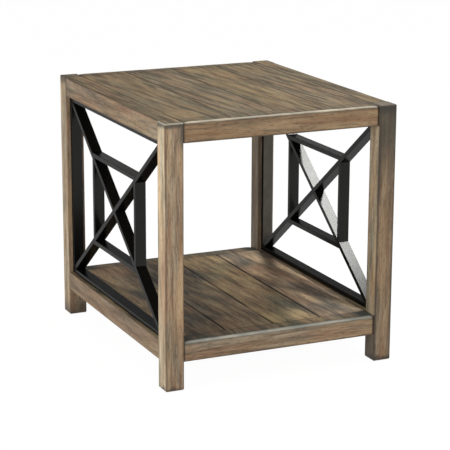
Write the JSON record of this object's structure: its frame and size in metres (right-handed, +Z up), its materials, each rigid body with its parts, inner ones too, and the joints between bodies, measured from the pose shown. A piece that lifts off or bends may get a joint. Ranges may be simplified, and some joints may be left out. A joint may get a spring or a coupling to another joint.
{
  "type": "rustic end table with shelf",
  "caption": "Open hickory end table: plank top and low plank shelf in a square-legged frame, with a black steel X-and-rectangle lattice in each side.",
  "frame": {"origin": "on the floor, below the middle of the table", "axes": "+Z up; the open front faces -Y; the width runs along X and the depth, with the lattice sides, along Y"},
  "size_m": [0.57, 0.675, 0.61],
  "materials": {
    "frame_hickory": "wire-brushed and rubbed, grey-brown stain, low sheen",
    "plank_hickory": "hand-scraped planks, grey-brown stain, low sheen",
    "plain_wood": "unfinished, sawn",
    "black_steel": "black paint, satin, bare welds dressed flush",
    "pin_steel": "plain turned steel",
    "screw_steel": "zinc plated",
    "glide_nylon": "dark brown nylon, matt"
  },
  "bodies": {
    "root": {"front_left_glide": "glide_nylon", "front_left_leg": "frame_hickory", "front_right_glide": "glide_nylon", "front_right_leg": "frame_hickory", "front_shelf_ledger": "plain_wood", "front_shelf_rail": "frame_hickory", "front_top_ledger": "plain_wood", "front_top_rail": "frame_hickory", "left_lattice_bottom_bar": "black_steel", "left_lattice_brace": "black_steel", "left_lattice_front_half_brace": "black_steel", "left_lattice_front_stile": "black_steel", "left_lattice_front_upright": "black_steel", "left_lattice_inner_bottom": "black_steel", "left_lattice_inner_top": "black_steel", "left_lattice_pins": "pin_steel", "left_lattice_rear_half_brace": "black_steel", "left_lattice_rear_stile": "black_steel", "left_lattice_rear_upright": "black_steel", "left_lattice_top_bar": "black_steel", "left_shelf_rail": "frame_hickory", "left_top_rail": "frame_hickory", "rear_left_glide": "glide_nylon", "rear_left_leg": "frame_hickory", "rear_right_glide": "glide_nylon", "rear_right_leg": "frame_hickory", "rear_shelf_ledger": "plain_wood", "rear_shelf_rail": "frame_hickory", "rear_top_ledger": "plain_wood", "rear_top_rail": "frame_hickory", "right_lattice_bottom_bar": "black_steel", "right_lattice_brace": "black_steel", "right_lattice_front_half_brace": "black_steel", "right_lattice_front_stile": "black_steel", "right_lattice_front_upright": "black_steel", "right_lattice_inner_bottom": "black_steel", "right_lattice_inner_top": "black_steel", "right_lattice_pins": "pin_steel", "right_lattice_rear_half_brace": "black_steel", "right_lattice_rear_stile": "black_steel", "right_lattice_rear_upright": "black_steel", "right_lattice_top_bar": "black_steel", "right_shelf_rail": "frame_hickory", "right_top_rail": "frame_hickory", "shelf_batten": "plain_wood", "shelf_plank_1": "plank_hickory", "shelf_plank_2": "plank_hickory", "shelf_plank_3": "plank_hickory", "shelf_plank_4": "plank_hickory", "shelf_plank_screws": "screw_steel", "top_batten": "plain_wood", "top_plank_1": "plank_hickory", "top_plank_2": "plank_hickory", "top_plank_3": "plank_hickory", "top_plank_4": "plank_hickory", "top_plank_screws": "screw_steel"}
  },
  "joints": []
}
